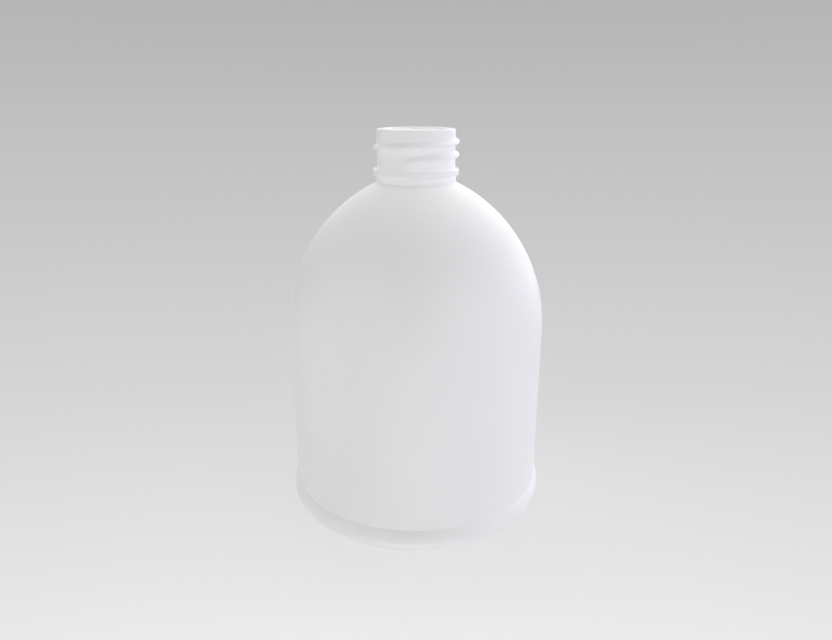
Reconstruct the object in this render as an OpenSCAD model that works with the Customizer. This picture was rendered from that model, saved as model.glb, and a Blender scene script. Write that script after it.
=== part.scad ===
// Dome-shaped bottle, blown in one piece, with an open threaded neck.
// Millimetres, Z up. The origin is the centre of the standing ring, level with the surface
// that the bottle stands on. The front faces -Y.

/* [Body] */
// Outside diameter of the straight panel
panel_dia = 85.3; // [80:0.1:92]
// Height at which the panel ends and the shoulder begins
panel_top = 63; // [45:0.5:90]
// Radius of the shoulder's arc, seen from the side
shoulder_radius = 52.6; // [48:0.1:60]

/* [Foot] */
// How far the rolled foot stands out past the panel
foot_reach = 1.35; // [0.8:0.05:1.8]
// Radius of the rolled foot
foot_radius = 5.3; // [4.5:0.1:7]
// Radius of the hollow blend where the panel meets the foot
foot_blend = 0.8; // [0.4:0.1:1.5]
// Width of the flat ring that the bottle stands on
ring_width = 3.2; // [2:0.1:6]
// Height of the pushed-up base at its centre
push_up = 3.6; // [2:0.1:6]
// Length of the weld across the base, where the mould pinched the tube shut
weld_length = 46; // [30:1:60]
// Width of the weld
weld_width = 1; // [0.6:0.1:2]
// How far the weld stands out of the pushed-up base
weld_height = 0.35; // [0.2:0.05:0.6]

/* [Neck] */
// Outside diameter of the neck between the turns of the thread
neck_dia = 25; // [24.4:0.1:25.4]
// Outside diameter of the collar under the bead
collar_dia = 25.7; // [25:0.1:26.4]
// Height of the collar, from the shoulder to the bead
collar_height = 2.35; // [1.5:0.05:4]
// Radius of the hollow blend where the shoulder meets the collar
collar_blend = 1; // [0.4:0.1:1.4]
// Outside diameter of the bead
bead_dia = 27.4; // [27:0.1:28.4]
// Height of the bead
bead_height = 2; // [1.2:0.1:3]
// Radius of the bead's two edges
bead_edge = 0.3; // [0.1:0.05:0.5]
// Height of the finish, from the top of the bead to the rim
finish_height = 12.25; // [11.5:0.05:15]
// Radius of the rim's two edges
rim_edge = 0.5; // [0.2:0.1:0.9]
// Diameter of the bore through the neck
bore_dia = 19.4; // [16:0.1:20.4]
// Radius of the edge where the bore opens into the body
bore_edge = 1.5; // [0.5:0.1:2.2]

/* [Thread] */
// Diameter over the thread's crest
thread_dia = 27.4; // [27:0.1:27.8]
// Rise of the thread in one turn
thread_pitch = 4; // [3.6:0.05:4.5]
// Length of the thread in turns, from run-in to run-out
thread_turns = 1.5; // [1:0.25:1.75]
// Height of the flat land on the crest
thread_land = 0.8; // [0.5:0.05:1.1]
// Slope of the upper flank, measured from level
upper_slope = 40; // [30:1:50]
// Slope of the lower flank, measured from level
lower_slope = 12; // [5:1:25]
// Height of the thread's underside above the bead, at the lower end
thread_gap = 2.4; // [1.5:0.05:3]
// Direction that the lower end points in, counter-clockwise from the right-hand side
thread_start = 249; // [0:1:359]
// Turn over which each end of the thread fades into the neck
thread_fade = 24; // [12:1:45]

/* [Wall] */
// Wall of the blown body
body_wall = 1.2; // [0.8:0.1:1.6]

/* [Hidden] */
$fn = 180;

// Radii about the bottle's axis
panel_r = panel_dia / 2;
foot_r = panel_r + foot_reach;
neck_r = neck_dia / 2;
collar_r = collar_dia / 2;
bead_r = bead_dia / 2;
bore_r = bore_dia / 2;

// The shoulder is one arc that leaves the panel without an edge
shoulder_centre = [panel_r - shoulder_radius, panel_top];
shoulder_top = panel_top + sqrt(pow(shoulder_radius, 2) - pow(collar_r - shoulder_centre[0], 2));

// The foot's arc touches the surface that the bottle stands on
foot_centre = [foot_r - foot_radius, foot_radius];

// The base inside the standing ring is a shallow cap of a sphere
cap_r = foot_centre[0] - ring_width;
cap_radius = (pow(cap_r, 2) + pow(push_up, 2)) / (2 * push_up);

// Heights up the neck
bead_base = shoulder_top + collar_height;
bead_top = bead_base + bead_height;
rim_z = bead_top + finish_height;

// Joined shapes run this far into one another
lap = 0.5;

// The thread's section starts this far inside the neck's surface
thread_root = neck_r - lap;
thread_depth = thread_dia / 2 - thread_root;
thread_step = 6;
thread_steps = round(360 * thread_turns / thread_step);
thread_base = bead_top + thread_gap - lap * tan(lower_slope);

// Hollow corner between a round shape and a wall that rises from it. Its arc touches both.
module blend(wall_r, centre, radius, blend_radius) {
    reach = radius + blend_radius;
    across = wall_r + blend_radius - centre[0];
    blend_centre = centre + [across, sqrt(pow(reach, 2) - pow(across, 2))];
    touch = centre + (blend_centre - centre) * radius / reach;
    difference() {
        polygon([
            [wall_r - lap, touch[1] - lap],
            touch,
            blend_centre,
            [wall_r - lap, blend_centre[1]],
        ]);
        translate(blend_centre) circle(blend_radius);
    }
}

// Half section of the body, shrunk inwards by inset
module body_section(inset) {
    wall_r = panel_r - inset;
    arc_radius = shoulder_radius - inset;
    foot_arc = foot_radius - inset;
    difference() {
        union() {
            intersection() {
                translate(shoulder_centre) circle(arc_radius);
                translate([0, panel_top]) square([panel_r, arc_radius]);
            }
            translate([0, foot_radius]) square([wall_r, panel_top - foot_radius]);
            blend(wall_r, foot_centre, foot_arc, foot_blend + inset);
            translate(foot_centre) circle(foot_arc);
            translate([0, inset]) square([foot_centre[0], 2 * foot_arc]);
        }
        translate([0, push_up - cap_radius]) circle(cap_radius + inset);
    }
}

// Half section of a skin on the underside of the pushed-up base, which the weld is cut from
module weld_section() {
    intersection() {
        translate([0, push_up - cap_radius]) difference() {
            circle(cap_radius + weld_height);
            circle(cap_radius - weld_height);
        }
        square([cap_r, foot_radius]);
    }
}

// Half section of a band about the axis, with its outer corners rounded
module band_section(r, base, top, edge) {
    translate([0, base]) square([r - edge, top - base]);
    translate([0, base + edge]) square([r, top - base - 2 * edge]);
    for (z = [base + edge, top - edge])
        translate([r - edge, z]) circle(edge);
}

// Half section of the solid neck
module neck_section() {
    translate([0, shoulder_top - lap]) square([collar_r, collar_height + 2 * lap]);
    blend(collar_r, shoulder_centre, shoulder_radius, collar_blend);
    band_section(bead_r, bead_base, bead_top, bead_edge);
    band_section(neck_r, bead_base, rim_z, rim_edge);
}

// Half section of the bore, which opens out over the rounded inner edge of the rim
module bore_section() {
    rim_r = bore_r + rim_edge;
    translate([0, panel_top]) square([bore_r, rim_z - panel_top + lap]);
    blend(bore_r, shoulder_centre, shoulder_radius - body_wall, bore_edge);
    difference() {
        translate([0, rim_z - rim_edge]) square([rim_r, rim_edge + lap]);
        translate([rim_r, rim_z - rim_edge]) circle(rim_edge);
    }
}

// How much of the thread's full depth stands at a given step: nothing at either end
function thread_growth(i) =
    let (turned = min(i, thread_steps - i) * thread_step)
    sin(90 * min(1, max(0.02, turned / thread_fade)));

// The thread's section at one step: the two roots and the two edges of the crest
function thread_ring(i) =
    let (
        growth = thread_growth(i),
        angle = thread_start + i * thread_step,
        base = thread_base + thread_pitch * i * thread_step / 360,
        depth = growth * thread_depth,
        crest = base + depth * tan(lower_slope),
        section = [
            [thread_root, base],
            [thread_root + depth, crest],
            [thread_root + depth, crest + thread_land],
            [thread_root, crest + thread_land + depth * tan(upper_slope)],
        ]
    )
    [for (p = section) [p[0] * cos(angle), p[0] * sin(angle), p[1]]];

// One raised strand that climbs counter-clockwise round the neck
module thread() {
    points = [for (i = [0:thread_steps]) each thread_ring(i)];
    last = 4 * thread_steps;
    sides = [
        for (i = [0:thread_steps - 1], k = [0:3])
            let (a = 4 * i + k, b = 4 * i + (k + 1) % 4)
            each [[a, b, b + 4], [a, b + 4, a + 4]]
    ];
    ends = [[0, 3, 2, 1], [last, last + 1, last + 2, last + 3]];
    polyhedron(points, concat(sides, ends));
}

// Straight low ridge under the base, in line with the mould's parting at the two sides
module weld() {
    intersection() {
        rotate_extrude() weld_section();
        translate([-weld_length / 2, -weld_width / 2, 0])
            cube([weld_length, weld_width, foot_radius]);
    }
}

module bottle() {
    color("white")
    union() {
        difference() {
            rotate_extrude() {
                body_section(0);
                neck_section();
            }
            rotate_extrude() {
                body_section(body_wall);
                bore_section();
            }
        }
        thread();
        weld();
    }
}

bottle();
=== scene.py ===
import math

import bmesh
import bpy
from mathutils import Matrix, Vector


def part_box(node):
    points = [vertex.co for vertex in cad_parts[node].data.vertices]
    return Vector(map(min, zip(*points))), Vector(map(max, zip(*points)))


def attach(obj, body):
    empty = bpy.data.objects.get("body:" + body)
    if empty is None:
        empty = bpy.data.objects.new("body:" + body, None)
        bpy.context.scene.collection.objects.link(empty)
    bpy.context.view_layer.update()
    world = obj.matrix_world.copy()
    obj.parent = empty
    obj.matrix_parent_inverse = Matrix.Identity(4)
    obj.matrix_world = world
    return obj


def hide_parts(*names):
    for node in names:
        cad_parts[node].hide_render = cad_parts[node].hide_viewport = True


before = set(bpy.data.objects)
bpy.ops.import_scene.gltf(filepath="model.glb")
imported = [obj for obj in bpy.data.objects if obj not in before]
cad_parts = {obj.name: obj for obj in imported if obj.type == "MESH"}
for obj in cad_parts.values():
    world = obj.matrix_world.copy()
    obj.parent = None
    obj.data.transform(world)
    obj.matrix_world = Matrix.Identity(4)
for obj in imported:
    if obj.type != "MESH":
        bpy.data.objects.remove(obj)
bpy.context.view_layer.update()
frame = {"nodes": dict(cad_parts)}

print("frame loaded:", ", ".join(frame["nodes"]))

mm = 0.001
scene = bpy.context.scene
bottleLow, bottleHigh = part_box("bottle")  # gives the foot's radius and the rim's height

bottle = {
    # body, mm
    "panelRadius": 42.65,
    "panelTop": 63.0,
    "shoulderRadius": 52.6,
    "footRadius": 5.3,
    "footBlend": 0.8,
    "ringWidth": 3.2,
    "pushUp": 3.6,
    "weldLength": 46.0,
    "weldWidth": 1.0,
    "weldHeight": 0.35,
    "wall": 1.2,
    # neck, mm
    "collarRadius": 12.85,
    "collarHeight": 2.35,
    "collarBlend": 1.0,
    "beadRadius": 13.7,
    "beadHeight": 2.0,
    "beadEdge": 0.3,
    "neckRadius": 12.5,
    "rootFillet": 0.15,
    "rimEdge": 0.5,
    "boreRadius": 9.7,
    "boreEdge": 1.5,
    # mesh
    "columns": 256,
    "outsideRows": {"cap": 16, "foot": 28, "blend": 6, "panel": 10, "shoulder": 56},
    "insideRows": {"cap": 10, "foot": 12, "blend": 6, "panel": 6, "shoulder": 24},
    "edgeSteps": 4,
    "rimSteps": 6,
    "weldSteps": 24,
    "onAxis": 1e-6,        # mm, nearer than this a point is the middle of a fan
    "joinDistance": 1e-6,  # m, points nearer than this are one
}

thread = {
    "crestRadius": 13.7,
    "pitch": 4.0,
    "turns": 1.5,
    "land": 0.8,
    "upperSlope": 40,    # degrees from level
    "lowerSlope": 12,
    "gap": 2.4,          # from the bead up to the lower end's underside
    "startAngle": 249,   # degrees round from the right-hand side
    "fade": 24,          # degrees over which each end sinks into the neck
    "hidden": 0.5,       # how far the strand's section starts inside the neck
    "edges": (0.15, 0.2, 0.25, 0.3),  # rounding from the lower root to the upper one
    "foot": 0.3,         # plain neck kept below and above the strand's roots
    "rimGap": 0.2,       # plain neck kept between the top turn and the rim's rounding
    "leastFlank": 0.25,  # share of its height that a flank keeps in the mesh where it is flat
    "wallRows": 5,       # rows of faces between one turn and the next
    "baseRows": 3,       # rows of faces from the bead up to the strand
}


def hexColor(text):
    # sRGB hex to linear
    out = []
    for i in (0, 2, 4):
        c = int(text[i:i + 2], 16) / 255
        out.append(c / 12.92 if c <= 0.04045 else ((c + 0.055) / 1.055) ** 2.4)
    return (*out, 1.0)


def arc(centre, radius, start, end, steps):
    # points of an arc in the half plane (distance from the axis, height), angles in degrees
    points = []
    for i in range(steps + 1):
        a = math.radians(start + (end - start) * i / steps)
        points.append((centre[0] + radius * math.cos(a), centre[1] + radius * math.sin(a)))
    return points


def softCorners(corners, steps):
    # corners are (distance, height, rounding); the first and last stay as they are
    path = [corners[0][:2]]
    for i in range(1, len(corners) - 1):
        here = Vector(corners[i][:2])
        back = (Vector(corners[i - 1][:2]) - here).normalized()
        ahead = (Vector(corners[i + 1][:2]) - here).normalized()
        half = back.angle(ahead) / 2
        reach = corners[i][2] / math.tan(half)
        centre = here + (back + ahead).normalized() * corners[i][2] / math.sin(half)
        first, last = here + back * reach - centre, here + ahead * reach - centre
        for k in range(steps + 1):
            turn = first.lerp(last, k / steps).normalized() * corners[i][2]
            path.append(tuple(centre + turn))
    path.append(corners[-1][:2])
    return path


def blendCorner(wallRadius, centre, radius, blend):
    # where the arc that joins a round shape to a wall rising from it has its centre, and
    # the angle at which it leaves the round shape
    reach = radius + blend
    across = wallRadius + blend - centre[0]
    rise = math.sqrt(reach ** 2 - across ** 2)
    return (wallRadius + blend, centre[1] + rise), math.degrees(math.atan2(rise, across))


# Shared places on the bottle's half section, mm
b = bottle
footRing = (bottleHigh.x / mm - b["footRadius"], b["footRadius"])
shoulderCentre = (b["panelRadius"] - b["shoulderRadius"], b["panelTop"])
shoulderTop = b["panelTop"] + math.sqrt(
    b["shoulderRadius"] ** 2 - (b["collarRadius"] - shoulderCentre[0]) ** 2)
beadBase = shoulderTop + b["collarHeight"]
beadTop = beadBase + b["beadHeight"]
rimHeight = bottleHigh.z / mm
capRadius = footRing[0] - b["ringWidth"]
capSphere = (capRadius ** 2 + b["pushUp"] ** 2) / (2 * b["pushUp"])

# Shared sizes of the thread's section, mm
strandDepth = thread["crestRadius"] - b["neckRadius"]
lowerFlank = strandDepth * math.tan(math.radians(thread["lowerSlope"]))
upperFlank = strandDepth * math.tan(math.radians(thread["upperSlope"]))


def bodySection(inset, rows):
    # half section from the middle of the base out and up to the neck, inset from the outside
    wall = b["panelRadius"] - inset
    foot = b["footRadius"] - inset
    shoulder = b["shoulderRadius"] - inset
    sphere = capSphere + inset
    capCentre = (0, b["pushUp"] - capSphere)
    capEdge = math.degrees(math.acos((inset - capCentre[1]) / sphere))
    footBlend, footAngle = blendCorner(wall, footRing, foot, b["footBlend"] + inset)
    neckWall = b["collarRadius"] if inset == 0 else b["boreRadius"]
    neckBlend = b["collarBlend"] if inset == 0 else b["boreEdge"]
    neckCentre, neckAngle = blendCorner(neckWall, shoulderCentre, shoulder, neckBlend)
    path = arc(capCentre, sphere, 90, 90 - capEdge, rows["cap"])
    path += arc(footRing, foot, -90, footAngle, rows["foot"])
    path += arc(footBlend, b["footBlend"] + inset, 180 + footAngle, 180, rows["blend"])[1:]
    panelBase = footBlend[1]
    for i in range(1, rows["panel"]):
        path.append((wall, panelBase + (b["panelTop"] - panelBase) * i / rows["panel"]))
    path += arc(shoulderCentre, shoulder, 0, neckAngle, rows["shoulder"])
    path += arc(neckCentre, neckBlend, 180 + neckAngle, 180, rows["blend"])[1:]
    return path


def neckBelowThread():
    # half section of the bead, with a little plain wall beyond the fillets on either side
    f = b["rootFillet"]
    corners = [
        (b["collarRadius"], beadBase - 2 * f, 0),
        (b["collarRadius"], beadBase, f),
        (b["beadRadius"], beadBase, b["beadEdge"]),
        (b["beadRadius"], beadTop, b["beadEdge"]),
        (b["neckRadius"], beadTop, f),
        (b["neckRadius"], beadTop + 2 * f, 0),
    ]
    return softCorners(corners, b["edgeSteps"])


def rimSection():
    # half section of the rim, from just below its outer rounding to just below its inner one
    e = b["rimEdge"]
    start = rimHeight - 1.2 * e
    corners = [
        (b["neckRadius"], start, 0),
        (b["neckRadius"], rimHeight, e),
        (b["boreRadius"], rimHeight, e),
        (b["boreRadius"], start, 0),
    ]
    return softCorners(corners, b["rimSteps"])


def threadSection():
    # one pitch of neck wall with the strand on it: (height off the wall, height up the neck)
    t = thread
    landTop = lowerFlank + t["land"]
    top = landTop + upperFlank
    rounding = t["edges"]
    corners = [
        (0, -t["foot"], 0),
        (0, 0, rounding[0]),
        (strandDepth, lowerFlank, rounding[1]),
        (strandDepth, landTop, rounding[2]),
        (0, top, rounding[3]),
        (0, top + t["foot"], 0),
    ]
    return softCorners(corners, b["edgeSteps"])


def strandHeight(turned):
    # share of the thread's full depth that stands out of the neck, turned degrees from its end
    t = thread
    left = min(turned, 360 * t["turns"] - turned)
    growth = math.sin(math.radians(90 * min(1, max(0, left / t["fade"]))))
    return max(0, growth * (strandDepth + t["hidden"]) - t["hidden"]) / strandDepth


class Shell:
    # collects rows of points round the bottle's axis and joins them with faces

    def __init__(self):
        self.mesh = bmesh.new()

    def point(self, column, radius, height):
        a = math.radians(thread["startAngle"] + 360 * column / b["columns"])
        return self.mesh.verts.new((radius * math.cos(a) * mm, radius * math.sin(a) * mm, height * mm))

    def weave(self, rows):
        # rows[i][j] are points; neighbouring rows are joined by quads
        for low, high in zip(rows, rows[1:]):
            for j in range(len(low) - 1):
                self.mesh.faces.new((low[j], low[j + 1], high[j + 1], high[j]))

    def turn(self, path):
        # revolves a path; a point on the axis becomes the middle of a fan
        n = b["columns"]
        rows = []
        for radius, height in path:
            if radius < b["onAxis"]:
                rows.append([self.point(0, 0, height)])
            else:
                ring = [self.point(j, radius, height) for j in range(n)]
                rows.append(ring + ring[:1])
        for low, high in zip(rows, rows[1:]):
            if len(low) == 1 or len(high) == 1:
                middle, ring = (low[0], high) if len(low) == 1 else (high[0], low)
                for j in range(n):
                    self.mesh.faces.new((middle, ring[j], ring[j + 1]))
            else:
                self.weave([low, high])


def addThread(shell, zoneBase, zoneTop):
    # The band follows the helix, one pitch high, so that the strand's edges run along the
    # mesh. A wedge below it and one above it fill up to the level rings at either end.
    t = thread
    n = b["columns"]
    section = threadSection()
    last = round(n * t["turns"])
    firstBase = beadTop + t["gap"] - t["foot"]
    endBase = firstBase + t["pitch"] * t["turns"]
    endTop = zoneTop - t["rimGap"]

    def bandBase(j):
        return firstBase + t["pitch"] * j / n

    def bandHeight(j):
        # the last turn stops short of a full pitch where the rim is near
        past = max(0, j - (last - n)) / n
        return t["pitch"] - (t["pitch"] - (endTop - endBase)) * past

    def column(j):
        # the flanks shrink with the strand's depth, and the land on the crest keeps its height
        share = strandHeight(360 * j / n)
        spread = max(share, t["leastFlank"])
        points = []
        for r, z in section:
            onLower = min(max(z, 0), lowerFlank)
            onUpper = min(max(z - lowerFlank - t["land"], 0), upperFlank)
            points.append((b["neckRadius"] + share * r,
                           t["foot"] + z - (1 - spread) * (onLower + onUpper)))
        top = points[-1][1]
        for i in range(1, t["wallRows"] + 1):
            points.append((b["neckRadius"], top + (bandHeight(j) - top) * i / t["wallRows"]))
        return points

    columns = [column(j) for j in range(last + 1)]
    count = len(columns[0])
    rows = []
    for k in range(count):
        rows.append([shell.point(j, columns[j][k][0], bandBase(j) + columns[j][k][1])
                     for j in range(last + 1)])
    shell.weave(rows)

    plain = b["neckRadius"]
    levels = [zoneBase + (firstBase - zoneBase) * i / t["baseRows"] for i in range(t["baseRows"])]
    rows = [[shell.point(j, plain, z) for j in range(n + 1)] for z in levels]
    for k in range(count):
        rows.append([shell.point(j, plain, firstBase + columns[0][k][1] * j / n)
                     for j in range(n + 1)])
    shell.weave(rows)

    rows = []
    for k in range(count):
        rows.append([shell.point(last - n + j, plain,
                                 endBase + (endTop - endBase) * j / n
                                 + columns[last][k][1] * (1 - j / n))
                     for j in range(n + 1)])
    rows.append([shell.point(last - n + j, plain, zoneTop) for j in range(n + 1)])
    shell.weave(rows)


def addWeld(shell):
    # the ridge under the base where the mould pinched the soft tube shut: a half oval, closed on
    # all sides, with its flat back inside the wall
    half = b["weldLength"] / 2
    width = b["weldWidth"] / 2
    rise = b["weldHeight"]
    section = [(width * math.cos(math.radians(a)), -rise * math.sin(math.radians(a)))
               for a in range(0, 181, 20)]
    section += [(-width, rise), (width, rise)]
    rows = []
    for i in range(b["weldSteps"] + 1):
        x = half * (2 * i / b["weldSteps"] - 1)
        row = []
        for y, drop in section:
            base = b["pushUp"] - capSphere + math.sqrt(capSphere ** 2 - x ** 2 - y ** 2)
            row.append(shell.mesh.verts.new((x * mm, y * mm, (base + drop) * mm)))
        rows.append(row + row[:1])
    shell.weave(rows)
    for row in (rows[0], rows[-1]):
        shell.mesh.faces.new(row[:-1])


def makeBottle():
    shell = Shell()
    outside = bodySection(0, b["outsideRows"])
    inside = bodySection(b["wall"], b["insideRows"])
    below = neckBelowThread()
    rim = rimSection()
    shell.turn(outside + below)
    addThread(shell, below[-1][1], rim[0][1])
    shell.turn(rim + inside[::-1])
    addWeld(shell)
    bmesh.ops.remove_doubles(shell.mesh, verts=shell.mesh.verts, dist=b["joinDistance"])
    bmesh.ops.recalc_face_normals(shell.mesh, faces=shell.mesh.faces)
    data = bpy.data.meshes.new("bottleShell")
    shell.mesh.to_mesh(data)
    shell.mesh.free()
    data.shade_smooth()
    piece = bpy.data.objects.new("bottleShell", data)
    scene.collection.objects.link(piece)
    return piece


def addNode(tree, kind, settings=None, links=None):
    # settings go to the node or, by name or number, to its inputs; links are input: (node, output);
    # stops are a color ramp's places and hex colors, two or more
    node = tree.nodes.new(kind)
    for name, value in (settings or {}).items():
        if name == "stops":
            elements = node.color_ramp.elements
            for i, (spot, color) in enumerate(value):
                element = elements[i] if i < 2 else elements.new(spot)
                element.position = spot
                element.color = hexColor(color)
        elif isinstance(name, int) or name in node.inputs:
            node.inputs[name].default_value = value
        else:
            setattr(node, name, value)
    for name, (source, output) in (links or {}).items():
        tree.links.new(source.outputs[output], node.inputs[name])
    return node


def newMaterial(name):
    material = bpy.data.materials.new(name)
    material.use_nodes = True
    tree = material.node_tree
    tree.nodes.clear()
    return material, tree


# High-density polyethylene whitened with titanium dioxide, blown against a blasted steel mould:
# a satin white skin with no sharp reflections, a fine even grain, and faint lines along the
# height from the die that the soft tube came out of. The sizes of grain and lines are guesses,
# and their relief is so low that the photo's view looks the same without it.
blownPolyethylene = {
    "color": "e9e9ea",
    "shade": "e7e7e8",      # where the wall blew thicker or thinner
    "roughness": (0.40, 0.46),
    "ior": 1.54,
    "scatter": 0.12,
    "scatterDepth": 0.8,    # mm
    "scatterTint": (1.0, 0.9, 0.8),  # red goes deepest
    "cloud": 30.0,          # mm across one cloud of the wall's shade
    "noiseSpan": (0.3, 0.7),  # most of a noise's values lie in here
    "grain": 0.6,           # mm between grains; a blasted mould leaves finer ones, perhaps 0.1
    "grainHeight": 0.01,    # mm
    "dieSpacing": 2.2,      # mm between die lines on the panel
    "dieHeight": 0.02,      # mm
    "dieRun": 90.0,         # mm of height over which a die line changes
    "partWidth": 0.4,       # mm, the parting line at the two sides, a guess
    "partHeight": 0.03,     # mm
}


def polyethyleneMaterial():
    m = blownPolyethylene
    material, tree = newMaterial("blownPolyethylene")
    place = addNode(tree, "ShaderNodeTexCoord")
    cloud = addNode(tree, "ShaderNodeTexNoise", {
        "Scale": 1 / (m["cloud"] * mm), "Detail": 1.0}, {"Vector": (place, "Object")})
    grain = addNode(tree, "ShaderNodeTexNoise", {
        "Scale": 1 / (m["grain"] * mm), "Detail": 2.0}, {"Vector": (place, "Object")})

    # die lines: the noise sees only the direction from the axis, and a little of the height
    axes = addNode(tree, "ShaderNodeSeparateXYZ", links={0: (place, "Object")})
    flat = addNode(tree, "ShaderNodeCombineXYZ", links={"X": (axes, "X"), "Y": (axes, "Y")})
    around = addNode(tree, "ShaderNodeVectorMath", {"operation": "NORMALIZE"}, {0: (flat, "Vector")})
    onPanel = addNode(tree, "ShaderNodeVectorMath", {
        "operation": "SCALE", "Scale": b["panelRadius"] * mm}, {0: (around, "Vector")})
    slow = addNode(tree, "ShaderNodeMath", {
        "operation": "MULTIPLY", 1: m["dieSpacing"] / m["dieRun"]}, {0: (axes, "Z")})
    rise = addNode(tree, "ShaderNodeCombineXYZ", links={"Z": (slow, "Value")})
    along = addNode(tree, "ShaderNodeVectorMath", {"operation": "ADD"},
                    {0: (onPanel, "Vector"), 1: (rise, "Vector")})
    die = addNode(tree, "ShaderNodeTexNoise", {
        "Scale": 1 / (m["dieSpacing"] * mm), "Detail": 1.0}, {"Vector": (along, "Vector")})

    # parting line: a hair of plastic where the mould's halves met, in the plane y = 0
    aside = addNode(tree, "ShaderNodeMath", {"operation": "ABSOLUTE"}, {0: (axes, "Y")})
    part = addNode(tree, "ShaderNodeMapRange", {
        "interpolation_type": "SMOOTHSTEP", "From Max": m["partWidth"] / 2 * mm,
        "To Min": m["partHeight"], "To Max": 0.0}, {"Value": (aside, "Value")})

    height = addNode(tree, "ShaderNodeMath", {
        "operation": "MULTIPLY_ADD", 1: m["grainHeight"]},
        {0: (grain, "Fac"), 2: (part, "Result")})
    height = addNode(tree, "ShaderNodeMath", {
        "operation": "MULTIPLY_ADD", 1: m["dieHeight"]},
        {0: (die, "Fac"), 2: (height, "Value")})
    relief = addNode(tree, "ShaderNodeBump", {"Strength": 1.0, "Distance": mm},
                     {"Height": (height, "Value")})
    tint = addNode(tree, "ShaderNodeMix", {
        "data_type": "RGBA", 6: hexColor(m["color"]), 7: hexColor(m["shade"])},
        {0: (cloud, "Fac")})
    gloss = addNode(tree, "ShaderNodeMapRange", {
        "From Min": m["noiseSpan"][0], "From Max": m["noiseSpan"][1],
        "To Min": m["roughness"][0], "To Max": m["roughness"][1]}, {"Value": (grain, "Fac")})
    shader = addNode(tree, "ShaderNodeBsdfPrincipled", {
        "IOR": m["ior"],
        "Subsurface Weight": m["scatter"],
        "Subsurface Radius": m["scatterTint"],
        "Subsurface Scale": m["scatterDepth"] * mm,
    }, {"Base Color": (tint, 2), "Roughness": (gloss, "Result"), "Normal": (relief, "Normal")})
    addNode(tree, "ShaderNodeOutputMaterial", links={"Surface": (shader, "BSDF")})
    return material


studio = {
    "floorSize": 60.0,     # m, so that its far edge meets the horizon
    "paintedLightSpot": (0, -222.5, 0),  # mm, where the floor is palest, in front of the bottle: the middle of a painted pool of light
    "paintedLightShape": (0.6, 1, 1),    # makes the painted pool of light wider than deep
    "paintedLightReach": 138.3,    # mm from the spot at which it starts to grow darker
    # floor colour, which holds a painted falloff of light, by reach over distance from the spot: at
    # the horizon, midway, at the spot
    "floor": ((0.0, "c7c7c7"), (0.33, "dbdbdb"), (0.98, "f9f9f9")),
    "floorGlow": 0.75,     # share of the floor's shade that no shadow takes away
    # backdrop colour by height above the horizon
    "backdrop": ((0.0, "bdbdbd"), (0.113, "b5b5b5")),
    # wide soft panels: degrees round from the front, degrees up, strength, colour. A program chose
    # panels and cards from listed directions, and their strengths and colours are the
    # average of two least squares fits that it made to the shading in the photo.
    "panelAngle": 60,      # degrees that a panel or a card fills, seen from the bottle
    "panels": {
        "frontLeft": (-45, 10, 0.36, "fffcf7"),
        "frontRight": (45, 10, 0.35, "fdfdff"),
        "backRightHigh": (120, 60, 0.223, "ffffff"),
        "back": (180, 15, 0.216, "f8fdff"),
        "backLeft": (225, 45, 0.174, "f8f6ff"),
        "overhead": (0, 90, 0.076, "fbfcff"),
    },
    # cards: lamps that light the bottle alone and cast no shadow, laid out in the same way
    "cards": {
        "frontLeft": (-45, 10, 0.034, "fffaf0"),
        "frontRight": (45, 10, 0.11, "ffffff"),
        "right": (90, 0, 0.215, "e4e6ff"),
        "backRight": (135, 20, 0.335, "ffffff"),
        "backHigh": (180, 60, 0.152, "ffffff"),
        "left": (270, 0, 0.187, "fffaff"),
        "below": (0, -60, 0.232, "fafaff"),
    },
}


def seenRays(tree):
    # 1 for what the lens sees, straight or by gloss or glass, and 0 for what gives light
    rays = addNode(tree, "ShaderNodeLightPath")
    seen = addNode(tree, "ShaderNodeMath", {"operation": "MAXIMUM"},
                   {0: (rays, "Is Camera Ray"), 1: (rays, "Is Glossy Ray")})
    return addNode(tree, "ShaderNodeMath", {"operation": "MAXIMUM"},
                   {0: (seen, "Value"), 1: (rays, "Is Transmission Ray")})


def floorMaterial():
    # Matt studio paper with a painted pool of light in its colour and its glow: palest in front of the
    # bottle and darker into the distance
    material, tree = newMaterial("studioPaper")
    place = addNode(tree, "ShaderNodeNewGeometry")
    # the ramp paints a pool of light on the floor: palest at the spot, darker with distance
    spot = [v * mm for v in studio["paintedLightSpot"]]
    wide = addNode(tree, "ShaderNodeVectorMath", {
        "operation": "MULTIPLY", 1: studio["paintedLightShape"]}, {0: (place, "Position")})
    distance = addNode(tree, "ShaderNodeVectorMath", {"operation": "DISTANCE", 1: spot},
                       {0: (wide, "Vector")})
    nearness = addNode(tree, "ShaderNodeMath", {
        "operation": "DIVIDE", 0: studio["paintedLightReach"] * mm}, {1: (distance, "Value")})
    ramp = addNode(tree, "ShaderNodeValToRGB", {"stops": studio["floor"]},
                   {"Fac": (nearness, "Value")})
    paper = addNode(tree, "ShaderNodeBsdfDiffuse", links={"Color": (ramp, "Color")})
    glow = addNode(tree, "ShaderNodeEmission", links={"Color": (ramp, "Color")})
    share = addNode(tree, "ShaderNodeMath", {
        "operation": "MULTIPLY", 1: studio["floorGlow"]}, {0: (seenRays(tree), "Value")})
    both = addNode(tree, "ShaderNodeMixShader", links={
        0: (share, "Value"), 1: (paper, "BSDF"), 2: (glow, "Emission")})
    addNode(tree, "ShaderNodeOutputMaterial", links={"Surface": (both, "Shader")})
    return material


def makeFloor():
    half = studio["floorSize"] / 2
    data = bpy.data.meshes.new("studioFloor")
    data.from_pydata([(-half, -half, 0), (half, -half, 0), (half, half, 0), (-half, half, 0)], [],
                     [(0, 1, 2, 3)])
    floor = bpy.data.objects.new("studioFloor", data)
    scene.collection.objects.link(floor)
    floor.data.materials.append(floorMaterial())


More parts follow.
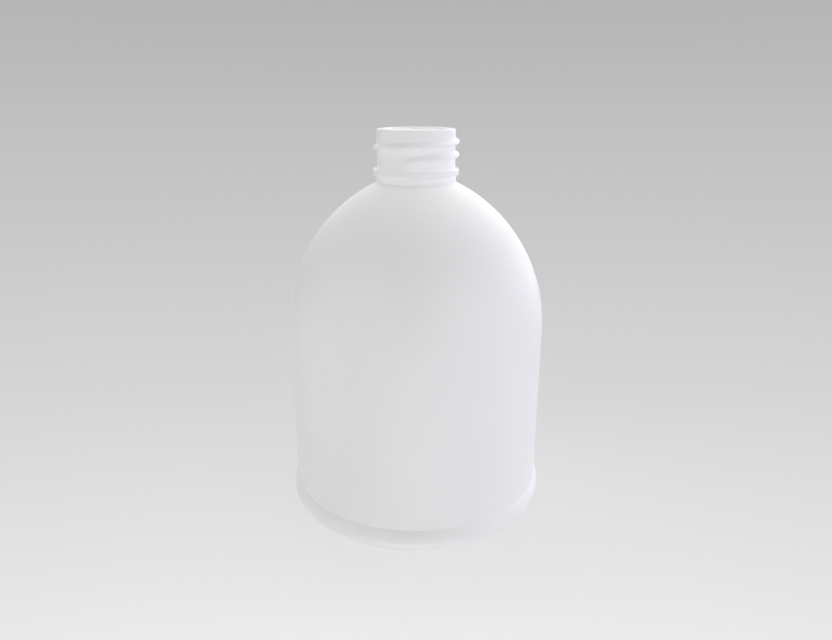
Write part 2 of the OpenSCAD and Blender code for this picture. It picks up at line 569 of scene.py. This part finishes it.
def makeWorld():
    # seen by the lens and in gloss, but the lamps give the light
    world = bpy.data.worlds.new("studio")
    scene.world = world
    world.use_nodes = True
    tree = world.node_tree
    tree.nodes.clear()
    view = addNode(tree, "ShaderNodeTexCoord")
    height = addNode(tree, "ShaderNodeSeparateXYZ", links={0: (view, "Generated")})
    ramp = addNode(tree, "ShaderNodeValToRGB", {"stops": studio["backdrop"]},
                   {"Fac": (height, "Z")})
    light = addNode(tree, "ShaderNodeBackground", links={
        "Color": (ramp, "Color"), "Strength": (seenRays(tree), "Value")})
    addNode(tree, "ShaderNodeOutputWorld", links={"Surface": (light, "Background")})


def makeLamp(name, around, up, strength, color):
    # a distant lamp as wide as a panel; at strength 1 it alone shows a colour as it is written
    data = bpy.data.lights.new(name, "SUN")
    data.energy = math.pi * strength
    data.angle = math.radians(studio["panelAngle"])
    data.color = hexColor(color)[:3]
    a, e = math.radians(around), math.radians(up)
    toward = Vector((math.sin(a) * math.cos(e), -math.cos(a) * math.cos(e), math.sin(e)))
    lamp = bpy.data.objects.new(name, data)
    lamp.rotation_euler = toward.to_track_quat("Z", "Y").to_euler()
    scene.collection.objects.link(lamp)
    return lamp


def makeLights():
    for name, panel in studio["panels"].items():
        makeLamp(name, *panel)
    # a card lights every side that faces it, past anything in its way; multiple importance
    # sampling is off, because with it the cards come out too weak
    litByCards = bpy.data.collections.new("litByCards")
    litByCards.objects.link(bottleShell)
    for name, card in studio["cards"].items():
        lamp = makeLamp(name + "Card", *card)
        lamp.data.use_shadow = False
        lamp.data.cycles.use_multiple_importance_sampling = False
        lamp.light_linking.receiver_collection = litByCards


# The camera looks slightly down on the bottle from close by, as the photo does
shot = {
    "distance": 222.5,  # from the bottle's axis, mm
    "height": 138.3,    # above the floor, mm
    "tilt": 18.58,      # degrees below level
    "focal": 682.7,     # pixels, in a picture 832 wide
    "width": 832,
    "sensor": 36.0,     # mm
    "reach": (0.01, 100),  # nearest and farthest that it sees, m
}


def makeCamera():
    data = bpy.data.cameras.new("camera")
    data.sensor_width = shot["sensor"]
    data.lens = shot["focal"] * shot["sensor"] / shot["width"]
    data.clip_start, data.clip_end = shot["reach"]
    camera = bpy.data.objects.new("camera", data)
    camera.location = (0, -shot["distance"] * mm, shot["height"] * mm)
    camera.rotation_euler = (math.radians(90 - shot["tilt"]), 0, 0)
    scene.collection.objects.link(camera)
    scene.camera = camera


makeCamera()
bottleShell = makeBottle()
bottleShell.data.materials.append(polyethyleneMaterial())
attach(bottleShell, "root")
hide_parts("bottle")
print("bottle:", len(bottleShell.data.polygons), "faces")

makeFloor()
makeWorld()
makeLights()
print("studio:", len(studio["panels"]), "soft panels and", len(studio["cards"]), "cards")
scene.view_settings.view_transform = "Standard"
